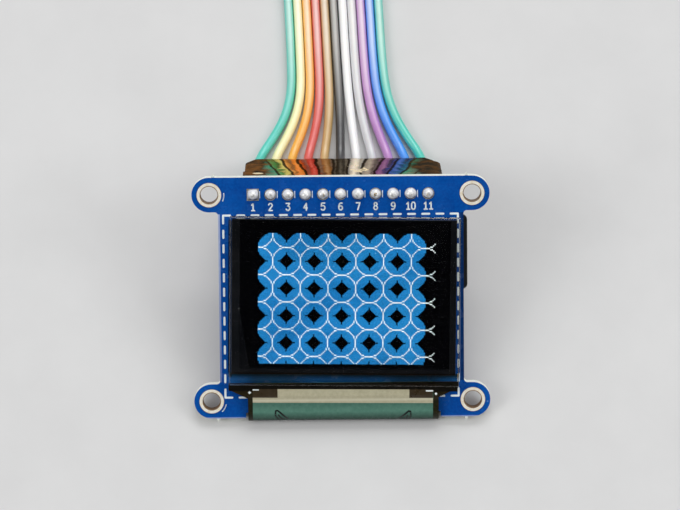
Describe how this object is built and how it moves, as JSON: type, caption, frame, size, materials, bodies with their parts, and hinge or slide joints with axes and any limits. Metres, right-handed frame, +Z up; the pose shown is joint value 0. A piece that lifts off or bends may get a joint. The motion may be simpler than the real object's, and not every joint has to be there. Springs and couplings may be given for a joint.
{
  "type": "small oled display module with jumper ribbon",
  "caption": "Small lit display on a drilled board that leans back on its rear edge, with a jumper ribbon taped to its rear header.",
  "frame": {"origin": "on the surface it stands on, at the middle of the module's box without its free wires", "axes": "+X across the board, +Y back along the ribbon, +Z up; the board's face leans back 33 degrees from level"},
  "size_m": [0.0453, 0.1527, 0.021],
  "materials": {
    "solder_mask": "glossy blue solder mask on glass-fibre board",
    "gold_plate": "pale gold plating",
    "solder": "bright tin solder",
    "black_plastic": "moulded black plastic",
    "gold_pin": "gold-plated pin",
    "socket_plastic": "moulded black plastic",
    "crimp_metal": "tinned crimp metal",
    "amber_tape": "glossy amber film",
    "foam": "black adhesive foam",
    "dark_glass": "dark backing glass",
    "clear_glass": "clear glass with ground edges",
    "dark_film": "dark polarising film, glossy",
    "lit_blue": "lit blue picture elements",
    "lit_white": "lit white picture elements",
    "flex_film": "green-coated flexible film, amber at its edges",
    "bare_chip": "bare silicon chip",
    "sheet_metal": "stamped nickel-plated steel",
    "card_plastic": "moulded black card",
    "chip_plastic": "moulded chip body",
    "tinned_lead": "tinned metal",
    "ferrite": "ferrite block",
    "ceramic": "tan ceramic",
    "resistor_film": "black glazed resistor",
    "wire_teal": "soft plastic insulation",
    "wire_cream": "soft plastic insulation",
    "wire_orange": "soft plastic insulation",
    "wire_red": "soft plastic insulation",
    "wire_tan": "soft plastic insulation",
    "wire_black": "soft plastic insulation",
    "wire_white": "soft plastic insulation",
    "wire_grey": "soft plastic insulation",
    "wire_violet": "soft plastic insulation",
    "wire_blue": "soft plastic insulation"
  },
  "bodies": {
    "root": {"circuit_board": "solder_mask", "hole_rings": "gold_plate", "pin_pads": "gold_plate", "solder_joints": "solder", "header_strip": "black_plastic", "header_pins": "gold_pin", "jumper_sockets": "socket_plastic", "jumper_crimps": "crimp_metal", "wrap_tape": "amber_tape", "foam_tape": "foam", "lid_glass": "dark_glass", "display_glass": "clear_glass", "polariser": "dark_film", "lit_discs": "lit_blue", "lit_rings": "lit_white", "display_flex": "flex_film", "driver_chip": "bare_chip", "flex_joints": "solder", "sd_shell": "sheet_metal", "sd_bed": "black_plastic", "sd_contacts": "gold_pin", "memory_card": "card_plastic", "level_shifter": "chip_plastic", "level_shifter_leads": "tinned_lead", "regulator": "chip_plastic", "regulator_leads": "tinned_lead", "boost_converter": "chip_plastic", "boost_leads": "tinned_lead", "inductor": "ferrite", "diode": "chip_plastic", "capacitors": "ceramic", "resistors": "resistor_film", "chip_ends": "tinned_lead", "plug_pins": "gold_pin", "plug_01": "socket_plastic", "plug_02": "socket_plastic", "plug_03": "socket_plastic", "plug_04": "socket_plastic", "plug_05": "socket_plastic", "plug_06": "socket_plastic", "plug_07": "socket_plastic", "plug_08": "socket_plastic", "plug_09": "socket_plastic", "plug_10": "socket_plastic", "plug_11": "socket_plastic", "wire_01_teal": "wire_teal", "wire_02_cream": "wire_cream", "wire_03_orange": "wire_orange", "wire_04_red": "wire_red", "wire_05_tan": "wire_tan", "wire_06_black": "wire_black", "wire_07_white": "wire_white", "wire_08_grey": "wire_grey", "wire_09_violet": "wire_violet", "wire_10_blue": "wire_blue", "wire_11_teal": "wire_teal"}
  },
  "joints": []
}
